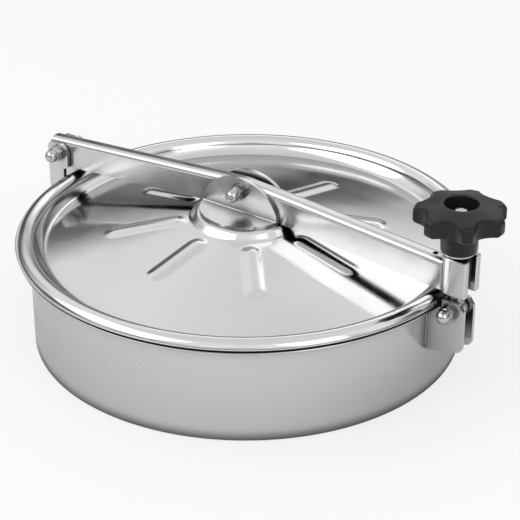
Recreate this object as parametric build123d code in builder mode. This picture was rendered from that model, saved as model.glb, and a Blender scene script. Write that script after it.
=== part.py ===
"""Tank manway cover: round neck, pressed lid with gasket, clamp arm with fork,
hinge, swing bolt and star knob.  Millimetres, +Z up, origin at the centre of
the neck's lower edge, +X from the hinge to the knob, -Y the cap-nut side."""
import os
from math import atan2, cos, hypot, radians, sin, tan

from build123d import *

# ---------------------------------------------------------------- dimensions
# neck
NECK_R = 200.0          # outside radius of the neck
NECK_T = 2.5            # sheet thickness of the neck
LIP_R = 211.0           # outside radius of the flared lip
LIP_Z = 93.0            # top of the lip
FLARE = 8.0             # bend radius under the lip

# lid
SHEET = 2.0             # sheet thickness of the lid
RIM_R = 212.6           # outside radius of the rolled bead
RIM_Z = 96.0            # lower edge of the bead
BEAD_R = 9.2            # half width of the bead
BEAD_H = 7.2            # height of the bead above its lower edge
CORNER_R = 186.0        # corner between bead wall and panel
CORNER_Z = 89.0
PANEL_R = 52.0          # foot of the boss
PANEL_Z = 112.0
BOSS_R = 46.0           # radius of the boss top
BOSS_Z = 119.0          # top of the boss
RIB_COUNT = 8           # embossed ribs
RIB_IN, RIB_OUT = 60.0, 128.0   # radial reach of a rib
RIB_W = 19.0            # width of a rib
RIB_H = 2.2             # height of a rib
RIB_TURN = -5.0         # angle of the first rib from the arm, degrees

# gasket
GASKET_IN, GASKET_OUT = 200.0, 209.3    # width of the face on the lip

# arm
ARM_W = 16.0            # outside width of the channel
ARM_H = 28.0            # height of the channel
ARM_T = 3.0             # sheet thickness of the channel
ARM_TOP = 151.5         # top of the channel at its kink
ARM_SLOPE = 4.3         # fall of each half, degrees
ARM_X0, ARM_X1 = -233.0, 213.0  # ends of the channel before coping
ARM_BEND = 5.5          # outside bend radius
VENT_X, VENT_D = 200.0, 5.0     # small hole near the fork

# pivots (X, Z)
HINGE = (-219.5, 122.0)
CENTRE = (0.0, 141.5)
LATCH = (222.0, 90.0)

# fork
FORK_GAP = 13.0         # slot width
FORK_T = 6.5            # strip thickness
FORK_Z0, FORK_Z1 = 107.5, 142.0
FORK_END = 237.0        # tips of the tines

# hinge and latch ears
HINGE_IN, HINGE_T = 8.5, 4.0    # inside half distance, thickness
LATCH_IN, LATCH_T = 6.6, 3.5
EAR_GAP = 1.6           # ears to the lid's bead

# lid bracket
BRACKET_T = 3.5
BRACKET_R = 43.0        # radius of the foot
BRACKET_H = 36.0        # height of the ear above the boss

# M8 hardware
M8 = 8.0
HEX = 13.0              # width across flats
HEAD_H = 5.3
NUT_HEX_H = 6.5
NUT_H = 15.0
DOME_D = 12.5
THREAD_IN = 10.0        # thread inside a cap nut
WASHER_D, WASHER_T = 16.0, 1.6
HOLE = 8.4              # clearance hole
RUN = 8.1               # running bore on an M8 shank

# swing bolt and knob
BOLT_D = 12.0
EYE_D, EYE_W = 20.0, 12.6
BOLT_TOP = 184.0
KNOB_GAP = 2.2          # free height under the knob washer as drawn
KNOB_WASHER_D, KNOB_WASHER_T = 28.0, 2.0
KNOB_D = 80.0
LOBES = 7
SCALLOP_R, SCALLOP_AT = 15.5, 46.5
HUB_D0, HUB_D1 = 31.0, 34.0
BODY_Z0, BODY_Z1 = 168.0, 190.0
RECESS_D, RECESS_Z = 29.0, 177.0
BUSH_D, BUSH_BORE = 20.0, 12.1

os.makedirs("parts", exist_ok=True)


def save(part, name):
    part.label = name
    export_step(part, f"parts/{name}.step")


def across(x, y, z, way):
    """Plane square to Y at (x, y, z); its normal points along way * Y."""
    return Plane(origin=(x, y, z), x_dir=(1, 0, 0), z_dir=(0, way, 0))


def parallel(points, gap):
    """Polyline at a constant distance to the right of the given one."""
    out = []
    for i, (x, z) in enumerate(points):
        dirs = []
        for a, b in ((i - 1, i), (i, i + 1)):
            if a >= 0 and b < len(points):
                dx, dz = points[b][0] - points[a][0], points[b][1] - points[a][1]
                dirs.append((dx / hypot(dx, dz), dz / hypot(dx, dz)))
        nx = sum(d[1] for d in dirs) / len(dirs)
        nz = -sum(d[0] for d in dirs) / len(dirs)
        k = gap / (nx * nx + nz * nz)
        out.append((x + nx * k, z + nz * k))
    return out


# ---------------------------------------------------------------------- neck
r_in = NECK_R - NECK_T
lip_under = LIP_Z - NECK_T
with BuildPart() as neck:
    with BuildSketch(Plane.XZ) as neck_section:
        with BuildLine():
            Polyline(
                (LIP_R, LIP_Z), (LIP_R, lip_under), (NECK_R, lip_under), (NECK_R, 0), (r_in, 0),
                (r_in, LIP_Z), (LIP_R, LIP_Z),
            )
        make_face()
        corners = neck_section.vertices()
        fillet(corners.sort_by_distance((NECK_R, lip_under))[0], FLARE - NECK_T)
        fillet(neck_section.vertices().sort_by_distance((r_in, LIP_Z))[0], FLARE)
        for z in (LIP_Z, lip_under):
            fillet(neck_section.vertices().sort_by_distance((LIP_R, z))[0], NECK_T * 0.48)
    revolve(axis=Axis.Z)

# ----------------------------------------------------------------------- lid
bead_x = RIM_R - BEAD_R
upper = [
    (0, BOSS_Z), (BOSS_R, BOSS_Z), (PANEL_R, PANEL_Z), (CORNER_R, CORNER_Z),
    (bead_x - BEAD_R, RIM_Z),
]
lower = parallel(upper, SHEET)
lower[0] = (0, BOSS_Z - SHEET)
lower[-1] = (bead_x - BEAD_R + SHEET, RIM_Z)
panel_fall = atan2(PANEL_Z - CORNER_Z, CORNER_R - PANEL_R)
with BuildPart() as lid:
    with BuildSketch(Plane.XZ) as lid_section:
        with BuildLine():
            Polyline(*upper)
            ThreePointArc(upper[-1], (bead_x, RIM_Z + BEAD_H), (RIM_R, RIM_Z))
            Line((RIM_R, RIM_Z), (RIM_R - SHEET, RIM_Z))
            ThreePointArc(
                (RIM_R - SHEET, RIM_Z), (bead_x, RIM_Z + BEAD_H - SHEET), lower[-1]
            )
            Polyline(*reversed(lower))
            Line(lower[0], upper[0])
        make_face()
        for i, r in ((1, 4.0), (2, 3.0), (3, 3.0)):
            convex = i == 1
            for line, size in ((upper, r if convex else r), (lower, r)):
                x, z = line[i]
                grow = SHEET if (line is upper) == convex else 0
                fillet(lid_section.vertices().sort_by_distance((x, z))[0], size + grow)
    revolve(axis=Axis.Z)

    mid = (RIB_IN + RIB_OUT) / 2
    mid_z = PANEL_Z - (mid - PANEL_R) * tan(panel_fall)
    rib_planes = []
    for i in range(RIB_COUNT):
        a = radians(RIB_TURN + i * 360 / RIB_COUNT)
        rib_planes.append(Plane(
            origin=(mid * cos(a), mid * sin(a), mid_z),
            x_dir=(cos(a) * cos(panel_fall), sin(a) * cos(panel_fall), -sin(panel_fall)),
            z_dir=(cos(a) * sin(panel_fall), sin(a) * sin(panel_fall), cos(panel_fall)),
        ))
    with BuildSketch(*[p.offset(-SHEET / 2) for p in rib_planes]):
        SlotOverall(RIB_OUT - RIB_IN, RIB_W)
    extrude(amount=RIB_H + SHEET / 2, taper=30)
    with BuildSketch(*[p.offset(-SHEET * 2) for p in rib_planes]):
        SlotOverall(RIB_OUT - RIB_IN - 3, RIB_W - 3)
    extrude(amount=RIB_H + SHEET, taper=30, mode=Mode.SUBTRACT)

# -------------------------------------------------------------------- gasket
groove = BEAD_R - SHEET - 0.05
with BuildPart() as gasket:
    with BuildSketch(Plane.XZ):
        with BuildLine():
            Polyline(
                (bead_x - groove, RIM_Z), (GASKET_IN, LIP_Z), (GASKET_OUT, LIP_Z),
                (bead_x + groove, RIM_Z),
            )
            ThreePointArc(
                (bead_x + groove, RIM_Z), (bead_x, RIM_Z + BEAD_H - SHEET - 0.05), (bead_x - groove, RIM_Z)
            )
        make_face()
    revolve(axis=Axis.Z)

# ----------------------------------------------------------------------- arm
rise = tan(radians(ARM_SLOPE))
left_top = (ARM_X0, ARM_TOP + ARM_X0 * rise)
right_top = (ARM_X1, ARM_TOP - ARM_X1 * rise)
with BuildPart() as arm:
    with BuildSketch(Plane.XZ) as arm_side:
        with BuildLine():
            Polyline(
                left_top, (0, ARM_TOP), right_top, (ARM_X1, right_top[1] - ARM_H),
                (0, ARM_TOP - ARM_H), (ARM_X0, left_top[1] - ARM_H), left_top,
            )
        make_face()
        fillet(arm_side.vertices().sort_by_distance((0, ARM_TOP))[0], 60)
        fillet(arm_side.vertices().sort_by_distance((0, ARM_TOP - ARM_H))[0], 60)
        fillet(arm_side.vertices().sort_by_distance((ARM_X0, left_top[1] - ARM_H))[0], 6)
    extrude(amount=ARM_W / 2, both=True)
    along = [e for e in arm.edges().filter_by(lambda e: abs(abs(e.center().Y) - ARM_W / 2) < 0.01)
             if e.center().Z > ARM_TOP + min(0, -abs(e.center().X)) * rise - 3 and e.length > 6]
    fillet(along, ARM_BEND)
    with BuildSketch(Plane.XZ) as arm_hollow:
        with BuildLine():
            top = ARM_TOP - ARM_T
            x0, x1 = ARM_X0 - 5, ARM_X1 + 5
            Polyline(
                (x0, top + x0 * rise), (0, top), (x1, top - x1 * rise), (x1, top - ARM_H - 30),
                (x0, top - ARM_H - 30), (x0, top + x0 * rise),
            )
        make_face()
        fillet(arm_hollow.vertices().sort_by_distance((0, top))[0], 60 - ARM_T)
    extrude(amount=ARM_W / 2 - ARM_T, both=True, mode=Mode.SUBTRACT)
    for (x, z), d in ((HINGE, RUN), (CENTRE, HOLE)):
        with Locations(across(x, 0, z, 1)):
            Cylinder(d / 2, ARM_W + 2, mode=Mode.SUBTRACT)
    with Locations((VENT_X, 0, ARM_TOP - VENT_X * rise - ARM_T / 2)):
        Cylinder(VENT_D / 2, ARM_T * 3, mode=Mode.SUBTRACT)
    with Locations((LATCH[0], 0, 120)):
        Cylinder(FORK_GAP / 2 + FORK_T, 80, mode=Mode.SUBTRACT)

# ---------------------------------------------------------------------- fork
fork_len = FORK_END - LATCH[0]
with BuildPart() as arm_fork:
    with BuildSketch(Plane.XY.offset(FORK_Z0)):
        with Locations((LATCH[0], 0)):
            Circle(FORK_GAP / 2 + FORK_T)
            Rectangle(fork_len, FORK_GAP + 2 * FORK_T, align=(Align.MIN, Align.CENTER))
            Circle(FORK_GAP / 2, mode=Mode.SUBTRACT)
            Rectangle(
                fork_len + 5, FORK_GAP, align=(Align.MIN, Align.CENTER), mode=Mode.SUBTRACT
            )
    extrude(amount=FORK_Z1 - FORK_Z0)
    tips = arm_fork.edges().filter_by(Axis.Z).filter_by(lambda e: e.center().X > FORK_END - 0.1)
    fillet(tips, 1.5)
    chamfer(arm_fork.faces().filter_by(Axis.Z).edges(), 0.8)

# ------------------------------------------------------------ lid brackets
chord = (BRACKET_R ** 2 - (ARM_W / 2) ** 2) ** 0.5
with BuildPart() as lid_bracket_front:
    with BuildSketch(Plane.YZ) as fold:
        with BuildLine():
            y = -ARM_W / 2
            Polyline(
                (y, BOSS_Z + BRACKET_H), (y, BOSS_Z), (-BRACKET_R, BOSS_Z),
                (-BRACKET_R, BOSS_Z + BRACKET_T), (y - BRACKET_T, BOSS_Z + BRACKET_T),
                (y - BRACKET_T, BOSS_Z + BRACKET_H), (y, BOSS_Z + BRACKET_H),
            )
        make_face()
        fillet(fold.vertices().sort_by_distance((y, BOSS_Z))[0], BRACKET_T + 1)
        fillet(fold.vertices().sort_by_distance((y - BRACKET_T, BOSS_Z + BRACKET_T))[0], 1)
    extrude(amount=BRACKET_R, both=True)
    with BuildSketch(Plane.XY.offset(BOSS_Z - 1)):
        Circle(BRACKET_R)
    extrude(amount=2 * BRACKET_H, mode=Mode.INTERSECT)
    with BuildSketch(across(0, 0, BOSS_Z, -1)):
        Ellipse(chord, BRACKET_H)
    extrude(amount=BRACKET_R + 1, mode=Mode.INTERSECT)
    with Locations(across(CENTRE[0], -ARM_W / 2, CENTRE[1], -1)):
        Cylinder(HOLE / 2, 3 * BRACKET_T, mode=Mode.SUBTRACT)

with BuildPart() as lid_bracket_rear:
    add(mirror(lid_bracket_front.part, about=Plane.XZ))

# ---------------------------------------------------------------- hinge ears
clear_x = RIM_R + EAR_GAP
under_z = LIP_Z - 0.5
hinge_outline = [
    (-196, 62), (-205, 60), (-233, 82), (-233, 131.5), (-208.5, 131.5), (-208.5, 108.8),
    (-clear_x, 105.5), (-clear_x, under_z), (-196, under_z),
]
latch_outline = [
    (196, 47), (203, 47), (236, 54), (236, 93), (230.5, 100.5), (clear_x, 100.5),
    (clear_x, under_z), (196, under_z),
]


def ear(outline, rounds, pivot, y0, thick, way):
    """Flat ear from y0 outwards, trimmed to the neck, with its bolt hole."""
    with BuildPart() as plate:
        with BuildSketch(Plane.XZ) as face:
            with BuildLine():
                Polyline(*outline, outline[0])
            make_face()
            for i, r in rounds:
                fillet(face.vertices().sort_by_distance(outline[i])[0], r)
        extrude(amount=-way * (y0 + thick), dir=(0, -1, 0))
        with Locations((0, 0, 0)):
            Box(700, 2 * y0, 500, mode=Mode.SUBTRACT)
        add(neck.part, mode=Mode.SUBTRACT)
        Cylinder(NECK_R - NECK_T / 2, 3 * LIP_Z, mode=Mode.SUBTRACT)
        with Locations(across(pivot[0], 0, pivot[1], way)):
            Cylinder(HOLE / 2, 60, mode=Mode.SUBTRACT)
    return plate.part.solids().sort_by(SortBy.VOLUME)[-1]


hinge_rounds = ((2, 6), (3, 5), (4, 9), (5, 2))
latch_rounds = ((1, 4), (2, 6), (3, 5), (4, 4))
hinge_ear_front = ear(hinge_outline, hinge_rounds, HINGE, HINGE_IN, HINGE_T, -1)
hinge_ear_rear = ear(hinge_outline, hinge_rounds, HINGE, HINGE_IN, HINGE_T, 1)
latch_ear_front = ear(latch_outline, latch_rounds, LATCH, LATCH_IN, LATCH_T, -1)
latch_ear_rear = ear(latch_outline, latch_rounds, LATCH, LATCH_IN, LATCH_T, 1)


# --------------------------------------------------------------- M8 hardware
def hexagon(x, y, z, way, height):
    """Hexagonal prism with its outer end chamfered."""
    cone = HEX * 0.475
    with BuildPart() as prism:
        with BuildSketch(across(x, y, z, way)):
            RegularPolygon(HEX / 2, 6, major_radius=False, rotation=30)
        extrude(amount=height)
        with Locations(across(x, y, z, way)):
            Cone(
                cone + height / tan(radians(30)), cone, height,
                align=(Align.CENTER, Align.CENTER, Align.MIN), mode=Mode.INTERSECT,
            )
    return prism.part


def hex_bolt(pivot, seat):
    """Bolt with its head behind (+Y) and its shank towards the front."""
    with BuildPart() as bolt:
        add(hexagon(pivot[0], seat, pivot[1], 1, HEAD_H))
        with BuildSketch(across(pivot[0], seat, pivot[1], -1)):
            Circle(M8 / 2)
        extrude(amount=2 * seat + THREAD_IN)
        chamfer(bolt.edges().sort_by(Axis.Y)[0], 0.8)
    return bolt.part


def cap_nut(pivot, seat):
    """Domed cap nut at the front (-Y) end of a bolt."""
    dome = DOME_D / 2
    with BuildPart() as nut:
        add(hexagon(pivot[0], -seat, pivot[1], -1, NUT_HEX_H))
        with BuildSketch(across(pivot[0], -seat, pivot[1], -1)):
            Circle(dome)
        extrude(amount=NUT_H - dome)
        with Locations((pivot[0], -seat - NUT_H + dome, pivot[1])):
            Sphere(dome)
        with BuildSketch(across(pivot[0], -seat, pivot[1], -1)):
            Circle(M8 / 2)
        extrude(amount=THREAD_IN + 0.5, mode=Mode.SUBTRACT)
    return nut.part


def washers(pivot, seat):
    """A washer under the head and one under the nut."""
    with BuildPart() as pair:
        for way in (1, -1):
            with BuildSketch(across(pivot[0], way * (seat - WASHER_T), pivot[1], way)):
                Circle(WASHER_D / 2)
                Circle(HOLE / 2, mode=Mode.SUBTRACT)
            extrude(amount=WASHER_T)
    return pair.part


# ---------------------------------------------------------------- swing bolt
lx, lz = LATCH
with BuildPart() as swing_bolt:
    with BuildSketch(Plane.XZ.offset(-EYE_W / 2)):
        with Locations((lx, lz)):
            Circle(EYE_D / 2)
    extrude(amount=EYE_W)
    fillet(swing_bolt.edges().filter_by(GeomType.CIRCLE), 1.0)
    with BuildSketch(Plane.XY.offset(lz + EYE_D / 4)):
        with Locations((lx, 0)):
            Circle(BOLT_D / 2)
    extrude(amount=BOLT_TOP - lz - EYE_D / 4)
    chamfer(swing_bolt.edges().filter_by(GeomType.CIRCLE).sort_by(Axis.Z)[-1], 1.2)
    with Locations(across(lx, 0, lz, 1)):
        Cylinder(RUN / 2, 2 * EYE_W, mode=Mode.SUBTRACT)

# ---------------------------------------------------------------------- knob
washer_z = FORK_Z1 + KNOB_GAP
hub_z = washer_z + KNOB_WASHER_T + 0.1
with BuildPart() as knob_washer:
    with BuildSketch(Plane.XY.offset(washer_z)):
        with Locations((lx, 0)):
            Circle(KNOB_WASHER_D / 2)
            Circle(BUSH_BORE / 2, mode=Mode.SUBTRACT)
    extrude(amount=KNOB_WASHER_T)
    chamfer(knob_washer.edges().filter_by(GeomType.CIRCLE).sort_by(SortBy.LENGTH)[-2:], 0.3)

with BuildPart() as knob_bush:
    with BuildSketch(Plane.XY.offset(hub_z)):
        with Locations((lx, 0)):
            Circle(BUSH_D / 2)
            Circle(BUSH_BORE / 2, mode=Mode.SUBTRACT)
    extrude(amount=RECESS_Z - hub_z)

body_r = KNOB_D / 2
with BuildPart() as knob:
    with BuildSketch(Plane.XZ) as knob_section:
        with BuildLine():
            Polyline(
                (lx + BUSH_D / 2, hub_z), (lx + HUB_D0 / 2, hub_z),
                (lx + HUB_D1 / 2, BODY_Z0), (lx + body_r, BODY_Z0 + 2.5),
                (lx + body_r, BODY_Z1 - 5.0), (lx + RECESS_D / 2 + 3, BODY_Z1),
                (lx + RECESS_D / 2, BODY_Z1), (lx + RECESS_D / 2, RECESS_Z),
                (lx + BUSH_D / 2, RECESS_Z), (lx + BUSH_D / 2, hub_z),
            )
        make_face()
        for p, r in (
            ((lx + HUB_D1 / 2, BODY_Z0), 3.0), ((lx + body_r, BODY_Z0 + 2.5), 4.0),
            ((lx + body_r, BODY_Z1 - 5.0), 6.0), ((lx + RECESS_D / 2 + 3, BODY_Z1), 12.0),
            ((lx + RECESS_D / 2, BODY_Z1), 1.2), ((lx + HUB_D0 / 2, hub_z), 0.8),
        ):
            fillet(knob_section.vertices().sort_by_distance(p)[0], r)
    revolve(axis=Axis((lx, 0, 0), (0, 0, 1)))
    with BuildSketch(Plane.XY.offset(BODY_Z0 - 1)):
        with Locations((lx, 0)):
            with PolarLocations(SCALLOP_AT, LOBES, start_angle=180 / LOBES):
                Circle(SCALLOP_R)
    extrude(amount=BODY_Z1 - BODY_Z0 + 2, mode=Mode.SUBTRACT)
    rims = [e for e in knob.edges() if e.geom_type != GeomType.LINE
            and BODY_Z0 - 0.5 < e.center().Z < BODY_Z1 + 0.5
            and 24 < hypot(e.center().X - lx, e.center().Y) < 39]
    fillet(rims, 2.2)

# -------------------------------------------------------------------- export
hinge_seat = HINGE_IN + HINGE_T + WASHER_T
centre_seat = ARM_W / 2 + BRACKET_T + WASHER_T
latch_seat = LATCH_IN + LATCH_T + WASHER_T
save(neck.part, "neck")
save(lid.part, "lid")
save(gasket.part, "gasket")
save(arm.part, "arm")
save(arm_fork.part, "arm_fork")
save(lid_bracket_front.part, "lid_bracket_front")
save(lid_bracket_rear.part, "lid_bracket_rear")
save(hinge_ear_front, "hinge_ear_front")
save(hinge_ear_rear, "hinge_ear_rear")
save(latch_ear_front, "latch_ear_front")
save(latch_ear_rear, "latch_ear_rear")
for where, pivot, seat in (
    ("hinge", HINGE, hinge_seat), ("centre", CENTRE, centre_seat), ("latch", LATCH, latch_seat),
):
    save(hex_bolt(pivot, seat), f"{where}_bolt")
    save(cap_nut(pivot, seat), f"{where}_cap_nut")
    save(washers(pivot, seat), f"{where}_washers")
save(swing_bolt.part, "swing_bolt")
save(knob_washer.part, "knob_washer")
save(knob_bush.part, "knob_bush")
save(knob.part, "knob")
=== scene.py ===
"""Looks of the tank manway cover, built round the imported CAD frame.

Pieces are modelled in millimetres, and to_object scales them to metres.
"""
import math

import bmesh
import bpy
from mathutils import Matrix, Vector


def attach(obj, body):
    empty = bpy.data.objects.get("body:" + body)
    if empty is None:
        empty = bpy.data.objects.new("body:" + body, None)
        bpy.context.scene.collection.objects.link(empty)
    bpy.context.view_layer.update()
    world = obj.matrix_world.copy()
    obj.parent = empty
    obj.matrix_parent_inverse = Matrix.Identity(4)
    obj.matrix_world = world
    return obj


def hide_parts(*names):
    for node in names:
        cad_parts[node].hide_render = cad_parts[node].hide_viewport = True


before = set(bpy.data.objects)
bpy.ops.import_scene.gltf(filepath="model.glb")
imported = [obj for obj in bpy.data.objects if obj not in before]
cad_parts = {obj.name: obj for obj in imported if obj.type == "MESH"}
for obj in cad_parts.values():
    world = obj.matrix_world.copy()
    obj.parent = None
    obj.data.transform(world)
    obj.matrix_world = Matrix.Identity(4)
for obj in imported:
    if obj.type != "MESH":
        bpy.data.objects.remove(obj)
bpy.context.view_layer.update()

# ------------------------------------------------------------ dimensions (mm)
MM = 0.001
AXIS = 0.01                                     # radius that stands for the axis in a spun section
NECK_R, NECK_T = 200.0, 2.5                     # neck ring: outside radius, sheet
LIP_R, LIP_Z = 211.0, 93.0                      # flared lip: outer edge, top
SHEET = 2.0                                     # lid sheet
RIM_R, RIM_Z = 212.6, 96.0                      # outer edge and underside of the rolled bead
BEAD_R, BEAD_H = 9.2, 7.2                       # half width and height of the bead
BEAD_X = RIM_R - BEAD_R
CORNER_R, CORNER_Z = 186.0, 89.0                # foot of the sloping wall
PANEL_R, PANEL_Z = 52.0, 112.0                  # top of the cone
BOSS_R, BOSS_Z = 46.0, 119.0
RIBS, RIB_TURN = 8, -5.0                        # embossed ribs, first one's angle from the arm
RIB_IN, RIB_OUT = 57.0, 131.0
RIB_W, RIB_H, RIB_FLANK = 22.0, 2.0, 9.0
LATCH_X, LATCH_Z = 222.0, 90.0                  # pivot of the swing bolt
BOLT_R, BOLT_LOW, BOLT_TOP = 6.0, 97.0, 184.0   # M12 shank
PITCH, THREAD_LOW, THREAD_DEPTH = 1.75, 102.0, 0.95
EYE_R, EYE_W, EYE_BORE = 10.0, 12.6, 4.05

# Weld beads on both sides of the arm: body, X, Y, bottom, top, radius
WELDS = {
    "weld_fork": ("cover", 211.6, 8.3, 109.5, 134.0, 1.4),
    "weld_latch": ("neck", 199.9, 10.0, 50.0, 84.0, 0.7),
    "weld_hinge": ("neck", -199.7, 12.4, 64.0, 84.0, 0.7),
}
RIPPLE = 2.2                                    # length of one ripple of a weld


# ----------------------------------------------------------- modelling helpers
def ease(x):
    """Smooth step from 0 to 1."""
    x = min(1.0, max(0.0, x))
    return x * x * (3 - 2 * x)


def crown(half, height, flip, steps):
    """Arc over the bead's centre, run outwards or, flipped, back inwards."""
    r = (half * half + height * height) / (2 * height)
    reach = math.asin(half / r)
    way = -1 if flip else 1
    angles = [reach * (2 * i / steps - 1) * way for i in range(steps + 1)]
    return [(BEAD_X + r * math.sin(a), RIM_Z + height - r + r * math.cos(a)) for a in angles]


def rounded(points, radii, steps=8):
    """Polyline with the corners that radii names rounded."""
    out = [points[0]]
    for i in range(1, len(points) - 1):
        p, a, b = (Vector(points[k]) for k in (i, i - 1, i + 1))
        r = radii.get(i, 0)
        if not r:
            out.append(points[i])
            continue
        u, v = (a - p).normalized(), (b - p).normalized()
        half = u.angle(v) / 2
        reach = r / math.tan(half)
        centre = p + (u + v).normalized() * (r / math.sin(half))
        start, end = p + u * reach - centre, p + v * reach - centre
        turn = start.angle_signed(end)
        for k in range(steps + 1):
            spoke = start.copy()
            spoke.rotate(Matrix.Rotation(-turn * k / steps, 2))
            out.append(tuple(centre + spoke))
    out.append(points[-1])
    return out


def dense(points, gap):
    """The same polyline with no step longer than gap."""
    out = [points[0]]
    for a, b in zip(points, points[1:]):
        n = max(1, math.ceil(math.dist(a, b) / gap))
        out += [(a[0] + (b[0] - a[0]) * k / n, a[1] + (b[1] - a[1]) * k / n)
                for k in range(1, n + 1)]
    return out


def lathe(points, steps, x0=0.0, closed=True):
    """Section (r, z) spun round the vertical through x0."""
    bm = bmesh.new()
    verts = [bm.verts.new((x0 + r, 0, z)) for r, z in points]
    pairs = list(zip(verts, verts[1:])) + ([(verts[-1], verts[0])] if closed else [])
    edges = [bm.edges.new(p) for p in pairs]
    bmesh.ops.spin(bm, geom=verts + edges, cent=(x0, 0, 0), axis=(0, 0, 1),
                   angle=math.tau, steps=steps, use_merge=True)
    return bm


def to_object(name, bm, material, smooth=40):
    """Mesh object in metres; edges sharper than smooth degrees stay crisp."""
    bmesh.ops.remove_doubles(bm, verts=bm.verts, dist=1e-4)
    bmesh.ops.recalc_face_normals(bm, faces=bm.faces)
    bmesh.ops.scale(bm, vec=(MM, MM, MM), verts=bm.verts)
    for f in bm.faces:
        f.smooth = True
    for e in bm.edges:
        if len(e.link_faces) == 2 and e.calc_face_angle(0) > math.radians(smooth):
            e.smooth = False
    mesh = bpy.data.meshes.new(name)
    bm.to_mesh(mesh)
    bm.free()
    mesh.materials.append(material)
    piece = bpy.data.objects.new(name, mesh)
    bpy.context.collection.objects.link(piece)
    return piece


def add(piece, body, slot, *nodes):
    """Fix a piece to its body and hide the CAD nodes it stands for; the slot is not used."""
    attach(piece, body)
    if nodes:
        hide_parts(*nodes)


# ------------------------------------------------------------------- materials
def feed(tree, shader, inputs):
    """Give a node's inputs their values, or link them where a socket is given."""
    for key, value in inputs.items():
        if isinstance(value, bpy.types.NodeSocket):
            tree.links.new(value, shader.inputs[key])
        else:
            shader.inputs[key].default_value = value


def node(tree, kind, inputs, **settings):
    """New shader node with its settings and its inputs."""
    made = tree.nodes.new("ShaderNode" + kind)
    for key, value in settings.items():
        setattr(made, key, value)
    feed(tree, made, inputs)
    return made


def ranged(tree, source, low, high):
    """Map the middle of a noise value's range to low..high."""
    return node(tree, "MapRange", {
        "Value": source, "From Min": 0.3, "From Max": 0.7, "To Min": low, "To Max": high,
    }).outputs["Result"]


def bump(tree, height, strength, distance, **under):
    """Normal from a height value, over another bump's normal if one is given."""
    return node(tree, "Bump", {
        "Height": height, "Strength": strength, "Distance": distance, **under,
    }).outputs["Normal"]


def polish_marks():
    """Group of fine grinding marks, slow waviness and handling smudges."""
    tree = bpy.data.node_groups.new("polish_marks", "ShaderNodeTree")
    for name, value in (("Grain scale", 900.0), ("Grain stretch", 12.0), ("Wave scale", 14.0)):
        socket = tree.interface.new_socket(name, in_out="INPUT", socket_type="NodeSocketFloat")
        socket.default_value = value
    tree.interface.new_socket("Vector", in_out="INPUT", socket_type="NodeSocketVector")
    for name in ("Grain", "Wave", "Smudge"):
        tree.interface.new_socket(name, in_out="OUTPUT", socket_type="NodeSocketFloat")
    given = tree.nodes.new("NodeGroupInput").outputs
    result = tree.nodes.new("NodeGroupOutput").inputs
    axes = node(tree, "CombineXYZ", {"X": 1.0, "Y": 1.0, "Z": given["Grain stretch"]})
    drawn = node(tree, "VectorMath", {0: given["Vector"], 1: axes.outputs[0]},
                 operation="MULTIPLY")
    for name, inputs in (
        ("Grain", {"Vector": drawn.outputs[0], "Scale": given["Grain scale"], "Detail": 4.0}),
        ("Wave", {"Vector": given["Vector"], "Scale": given["Wave scale"], "Detail": 1.0,
                  "Roughness": 0.3}),
        ("Smudge", {"Vector": given["Vector"], "Scale": 38.0, "Detail": 6.0}),
    ):
        tree.links.new(node(tree, "TexNoise", inputs).outputs[0], result[name])
    return tree


POLISH = polish_marks()


def new_material(name):
    """Material, its node tree and its Principled shader."""
    mat = bpy.data.materials.new(name)
    mat.use_nodes = True
    tree = mat.node_tree
    return mat, tree, tree.nodes["Principled BSDF"]


def metal(name, colour, rough, wave=0.0, grain=0.02, stretch=12.0, scale=900.0, grazing_shade=0.5):
    """Stainless steel with grain, slow waviness and smudges, with painted shade towards the
    outline and in creases.
    """
    mat, tree, steel = new_material(name)
    place = node(tree, "TexCoord", {}).outputs["Object"]
    marks = node(tree, "Group", {
        "Vector": place, "Grain scale": scale, "Grain stretch": stretch}, node_tree=POLISH)
    # Painted shade: the base colour is darkened towards the outline, where the surface turns away
    # from the view.
    facing = node(tree, "LayerWeight", {"Blend": 0.25}).outputs["Facing"]
    towards = node(tree, "Math", {0: 1.0, 1: facing}, operation="SUBTRACT")
    tone = node(tree, "Mix", {
        "A": (*[c * grazing_shade for c in colour], 1), "B": (*colour, 1), "Factor": towards.outputs[0],
    }, data_type="RGBA")
    # Painted shade: the colour is multiplied darker where ambient occlusion finds nearby surfaces,
    # in creases and between parts.
    open_sky = node(tree, "AmbientOcclusion", {"Distance": 0.014}, samples=8).outputs["AO"]
    painted_crease_shade = node(tree, "MapRange", {
        "Value": open_sky, "From Min": 0.25, "From Max": 0.92, "To Min": 0.16})
    dim = node(tree, "Mix", {
        "A": tone.outputs["Result"], "B": painted_crease_shade.outputs["Result"], "Factor": 1.0,
    }, data_type="RGBA", blend_type="MULTIPLY")
    fine = bump(tree, marks.outputs["Grain"], grain, 0.0004)
    feed(tree, steel, {
        "Metallic": 1.0,
        "Base Color": dim.outputs["Result"],
        "Roughness": ranged(tree, marks.outputs["Smudge"], rough * 0.75, rough * 1.35),
        "Normal": bump(tree, marks.outputs["Wave"], wave, 0.004, Normal=fine),
    })
    return mat


def dark(name, colour, rough, grit, scale, coat=0.0):
    """Moulded black plastic or rubber with a fine surface texture."""
    mat, tree, black = new_material(name)
    place = node(tree, "TexCoord", {}).outputs["Object"]
    noise = node(tree, "TexNoise", {"Vector": place, "Scale": scale, "Detail": 5.0}).outputs[0]
    tone = node(tree, "Mix", {
        "A": (*[c * 0.7 for c in colour], 1), "B": (*[c * 1.3 for c in colour], 1),
        "Factor": noise,
    }, data_type="RGBA")
    feed(tree, black, {
        "Coat Weight": coat,
        "Coat Roughness": 0.2,
        "Specular IOR Level": 0.27,
        "Base Color": tone.outputs["Result"],
        "Roughness": ranged(tree, noise, rough * 0.85, rough * 1.15),
        "Normal": bump(tree, noise, grit, 0.0003),
    })
    return mat


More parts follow.
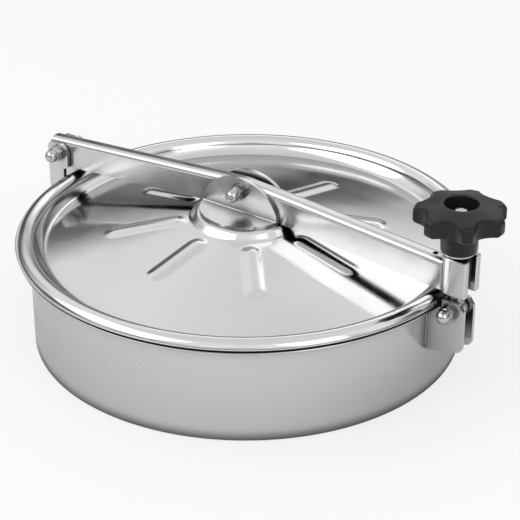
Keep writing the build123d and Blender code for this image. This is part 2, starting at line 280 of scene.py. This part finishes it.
LID_POLISH = metal("lid_mirror_polish", (0.78, 0.78, 0.775), 0.12, wave=0.26, grain=0.012)
NECK_POLISH = metal("neck_satin_polish", (0.66, 0.66, 0.65), 0.22, wave=0.12, grain=0.05,
                    stretch=40.0)
ARM_POLISH = metal("arm_polish", (0.68, 0.68, 0.675), 0.19, wave=0.22)
PLATE_POLISH = metal("plate_polish", (0.70, 0.70, 0.695), 0.20, wave=0.10, grain=0.03)
# The fasteners get stronger painted shade towards their outline.
NUT_POLISH = metal("fastener_polish", (0.60, 0.59, 0.575), 0.13, grazing_shade=0.3)
TURNED_STEEL = metal("turned_steel", (0.66, 0.65, 0.63), 0.22, grain=0.05, stretch=60.0)
WELD_METAL = metal("weld_bead", (0.60, 0.58, 0.55), 0.28, grain=0.25, stretch=1.0, scale=700.0)
GASKET_RUBBER = dark("black_gasket", (0.018, 0.018, 0.018), 0.62, 0.25, 1400.0)
KNOB_PLASTIC = dark("black_knob", (0.012, 0.012, 0.013), 0.36, 0.10, 1800.0, coat=0.05)

for names, material in (
    ("neck", NECK_POLISH),
    ("lid", LID_POLISH),
    ("gasket", GASKET_RUBBER),
    ("arm arm_fork", ARM_POLISH),
    ("lid_bracket_front lid_bracket_rear", PLATE_POLISH),
    ("hinge_ear_front hinge_ear_rear latch_ear_front latch_ear_rear", PLATE_POLISH),
    ("hinge_bolt hinge_cap_nut hinge_washers", NUT_POLISH),
    ("centre_bolt centre_cap_nut centre_washers", NUT_POLISH),
    ("latch_bolt latch_cap_nut latch_washers", NUT_POLISH),
    ("swing_bolt knob_washer knob_bush", TURNED_STEEL),
    ("knob", KNOB_PLASTIC),
):
    for name in names.split():
        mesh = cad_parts[name].data
        mesh.materials.clear()
        mesh.materials.append(material)


# ------------------------------------------------------------------------- lid
def rib_lift(x, y):
    """Height of the embossed ribs at a point of the panel."""
    r, a = math.hypot(x, y), math.atan2(y, x)
    step = math.tau / RIBS
    off = (a - math.radians(RIB_TURN) + step / 2) % step - step / 2
    along, side = r * math.cos(off), abs(r * math.sin(off))
    half = RIB_W / 2
    past_end = max(0.0, RIB_IN + half - along, along - RIB_OUT + half)
    return RIB_H * ease((half - math.hypot(side, past_end)) / RIB_FLANK)


def lid_pressing():
    """Pressed sheet: boss, cone with ribs, sloping wall, rolled bead and its hem."""
    upper = rounded(
        [(AXIS, BOSS_Z), (BOSS_R, BOSS_Z), (PANEL_R, PANEL_Z), (CORNER_R, CORNER_Z),
         (BEAD_X - BEAD_R, RIM_Z)], {1: 4.5, 2: 6.0, 3: 5.0})
    bead_top = crown(BEAD_R, BEAD_H, False, 44)[:-3]
    hem = [(RIM_R - 0.75, RIM_Z + 1.15), (RIM_R - 0.1, RIM_Z + 0.95), (RIM_R, RIM_Z + 0.6),
           (RIM_R, RIM_Z + 0.3), (RIM_R - 0.3, RIM_Z), (RIM_R - SHEET, RIM_Z)]
    bead_under = crown(BEAD_R - SHEET, BEAD_H - SHEET, True, 20)
    lower = rounded(
        [(BEAD_X - BEAD_R + SHEET, RIM_Z), (CORNER_R + 1.0, CORNER_Z - SHEET),
         (PANEL_R - 0.6, PANEL_Z - SHEET), (BOSS_R - 0.9, BOSS_Z - SHEET),
         (AXIS, BOSS_Z - SHEET)], {1: 3.0, 2: 4.0, 3: 2.5})
    bm = lathe(dense(upper[:-1], 2.2) + bead_top + hem + bead_under[1:-1] + dense(lower, 4.5),
               392)
    for v in bm.verts:
        r = math.hypot(v.co.x, v.co.y)
        if RIB_IN - 2 < r < RIB_OUT + 2 and v.co.z < PANEL_Z + 1:
            v.co.z += rib_lift(v.co.x, v.co.y)
    return bm


add(to_object("lid_pressing", lid_pressing(), LID_POLISH, 50), "cover", "steel", "lid")


# ------------------------------------------------------------------------ neck
def neck_ring():
    """Rolled ring with its upper edge flared out into a lip."""
    r_in, under = NECK_R - NECK_T, LIP_Z - NECK_T
    seam = 20.0                                 # section starts on the plain inner wall
    section = rounded(
        [(r_in, seam), (r_in, 0.2), (r_in + 0.3, 0), (NECK_R - 0.3, 0), (NECK_R, 0.3),
         (NECK_R, under), (LIP_R, under), (LIP_R, LIP_Z), (r_in, LIP_Z), (r_in, seam + 0.5)],
        {5: 5.5, 6: 1.2, 7: 1.2, 8: 8.0}, 6)
    return lathe(dense(section, 12.0), 384)


add(to_object("neck_ring", neck_ring(), NECK_POLISH, 50), "neck", "steel", "neck")


# ------------------------------------------------------------------ swing bolt
def threaded_shank():
    """M12 shank with a rolled helical thread above the plain part."""
    run_out = BOLT_TOP - 1.2
    rows = int((BOLT_TOP - THREAD_LOW) / PITCH * 8)
    section = [(BOLT_R, BOLT_LOW), (BOLT_R, 99.5), (BOLT_R - 0.1, 100.8)]
    section += [(BOLT_R, THREAD_LOW + (run_out - THREAD_LOW) * i / rows)
                for i in range(rows + 1)]
    section += [(BOLT_R - 0.4, BOLT_TOP - 0.6), (4.9, BOLT_TOP), (2.5, BOLT_TOP),
                (AXIS, BOLT_TOP)]
    bm = lathe(section, 48, LATCH_X, closed=False)
    for v in bm.verts:
        x, y, z = v.co.x - LATCH_X, v.co.y, v.co.z
        if THREAD_LOW - 0.01 <= z <= run_out + 0.1:
            phase = (z / PITCH - math.atan2(y, x) / math.tau) % 1.0
            root = min(1.0, 1.15 * (1 - abs(2 * phase - 1)))
            shrink = 1 - THREAD_DEPTH * root * ease((z - THREAD_LOW) / 3) / BOLT_R
            v.co.x, v.co.y = LATCH_X + x * shrink, y * shrink
    return bm


def bolt_eye():
    """Turned eye, its bore along Y at the latch pivot."""
    half = EYE_W / 2
    section = rounded(
        [(EYE_BORE, 0), (EYE_BORE, -half), (EYE_R, -half), (EYE_R, half), (EYE_BORE, half),
         (EYE_BORE, 0)], {1: 0.6, 2: 2.2, 3: 2.2, 4: 0.6}, 6)[:-1]
    bm = lathe(section, 96)
    bmesh.ops.rotate(bm, verts=bm.verts, cent=(0, 0, 0),
                     matrix=Matrix.Rotation(math.pi / 2, 3, "X"))
    bmesh.ops.translate(bm, verts=bm.verts, vec=(LATCH_X, 0, LATCH_Z))
    return bm


add(to_object("swing_bolt_shank", threaded_shank(), TURNED_STEEL, 75),
    "swing_bolt", "thread_steel", "swing_bolt")
add(to_object("swing_bolt_eye", bolt_eye(), TURNED_STEEL),
    "swing_bolt", "thread_steel", "swing_bolt")


# ----------------------------------------------------------------------- welds
def weld_bead(low, high, radius):
    """Rippled bead between two points, with rounded ends."""
    low, high = Vector(low), Vector(high)
    way = (high - low).normalized()
    steps = max(1, round((high - low).length / (RIPPLE / 4)))
    turn = way.to_track_quat("Z", "Y").to_matrix().to_4x4()
    bm = bmesh.new()
    rings = []
    for i in range(steps + 1):
        ends = min(1.0, (i + 0.6) / 3, (steps + 0.6 - i) / 3)
        r = radius * (0.84 + 0.16 * math.cos(math.tau * i / 4)) * ends ** 0.5
        made = bmesh.ops.create_circle(bm, segments=12, radius=r)["verts"]
        place = Matrix.Translation(low.lerp(high, i / steps))
        bmesh.ops.transform(bm, matrix=place @ turn, verts=made)
        rings.append({e for v in made for e in v.link_edges})
    for a, b in zip(rings, rings[1:]):
        bmesh.ops.bridge_loops(bm, edges=list(a | b))
    for ring in (rings[0], rings[-1]):
        bmesh.ops.edgeloop_fill(bm, edges=list(ring))
    return bm


for side, way in (("front", -1), ("rear", 1)):
    for name, (body, x, y, bottom, top, radius) in WELDS.items():
        bead = weld_bead((x, way * y, bottom), (x, way * y, top), radius)
        add(to_object(f"{name}_{side}", bead, WELD_METAL, 80), body, "steel")


# ------------------------------------------------------- floor, lights, camera
def white_floor():
    """Matt floor that glows for the camera only, so it stays near white."""
    bm = bmesh.new()
    bmesh.ops.create_grid(bm, x_segments=2, y_segments=2, size=6.0)
    mesh = bpy.data.meshes.new("floor")
    bm.to_mesh(mesh)
    bm.free()
    mat, tree, matt = new_material("floor_white")
    feed(tree, matt, {
        "Base Color": (0.86, 0.86, 0.86, 1), "Roughness": 0.9, "Specular IOR Level": 0.0})
    seen = node(tree, "LightPath", {}).outputs["Is Camera Ray"]
    share = node(tree, "Math", {0: seen, 1: 0.72}, operation="MULTIPLY")
    glow = node(tree, "Emission", {})
    mixed = node(tree, "MixShader", {
        0: share.outputs[0], 1: matt.outputs[0], 2: glow.outputs[0]})
    feed(tree, tree.nodes["Material Output"], {"Surface": mixed.outputs[0]})
    mesh.materials.append(mat)
    floor = bpy.data.objects.new("floor", mesh)
    floor.location.z = -0.0005
    bpy.context.collection.objects.link(floor)


def studio():
    """Walls for the steel to mirror: a dark band above the horizon, pale above."""
    world = bpy.data.worlds.new("studio")
    bpy.context.scene.world = world
    world.use_nodes = True
    tree = world.node_tree
    place = node(tree, "TexCoord", {}).outputs["Generated"]
    height = node(tree, "SeparateXYZ", {0: place}).outputs["Z"]
    lift = node(tree, "MapRange", {"Value": height, "From Min": -1.0}).outputs["Result"]
    cards = node(tree, "TexNoise", {"Vector": place, "Scale": 2.3, "Detail": 0.0})
    warp = node(tree, "Math", {0: cards.outputs[0], 1: 0.36, 2: lift}, operation="MULTIPLY_ADD")
    shift = node(tree, "Math", {0: warp.outputs[0], 1: 0.18}, operation="SUBTRACT")
    ramp = node(tree, "ValToRGB", {"Fac": shift.outputs[0]})
    ramp.color_ramp.interpolation = "EASE"
    levels = ramp.color_ramp.elements
    levels[0].position, levels[0].color = 0.0, (0.30, 0.30, 0.30, 1)
    levels[1].position, levels[1].color = 1.0, (0.80, 0.80, 0.80, 1)
    for stop, grey in ((0.44, 0.38), (0.53, 0.62), (0.59, 0.08), (0.66, 0.20), (0.72, 0.70),
                       (0.79, 1.0)):
        levels.new(stop).color = (grey, grey, grey, 1)
    seen = node(tree, "LightPath", {}).outputs["Is Camera Ray"]
    pick = node(tree, "Mix", {
        "A": ramp.outputs["Color"], "B": (1, 1, 1, 1), "Factor": seen}, data_type="RGBA")
    feed(tree, tree.nodes["Background"], {"Color": pick.outputs["Result"], "Strength": 1.0})


def lamp(name, place, size, watts):
    """Rectangular lamp that faces the middle of the lid."""
    data = bpy.data.lights.new(name, "AREA")
    data.shape = "RECTANGLE"
    data.size, data.size_y = size
    data.energy = watts
    light = bpy.data.objects.new(name, data)
    light.location = place
    way = Vector((0, 0, 0.08)) - Vector(place)
    light.rotation_euler = way.to_track_quat("-Z", "Y").to_euler()
    bpy.context.collection.objects.link(light)


def view_camera(azimuth, elevation, roll, distance):
    """Camera on the neck's axis at a turn and height in degrees; distance in metres."""
    az, el = math.radians(azimuth), math.radians(elevation)
    away = Vector((math.sin(az) * math.cos(el), -math.cos(az) * math.cos(el), math.sin(el)))
    data = bpy.data.cameras.new("camera")
    data.lens, data.sensor_width = 118.7, 36.0
    data.shift_x, data.shift_y = 0.025, 0.0119
    camera = bpy.data.objects.new("camera", data)
    camera.location = Vector((0, 0, 0.06)) + away * distance
    camera.rotation_euler = (
        (-away).to_track_quat("-Z", "Y").to_matrix()
        @ Matrix.Rotation(-math.radians(roll), 3, "Z")
    ).to_euler()
    bpy.context.collection.objects.link(camera)
    bpy.context.scene.camera = camera


white_floor()
studio()
lamp("key", (-0.9, -1.2, 1.5), (2.0, 1.3), 12)
lamp("fill", (1.6, -0.6, 1.0), (0.8, 1.6), 5)
lamp("back", (-0.7, 1.8, 1.5), (1.6, 0.5), 1.5)
view_camera(36.6, 28.4, 0.3, 1.6)
bpy.context.scene.view_settings.view_transform = "Standard"
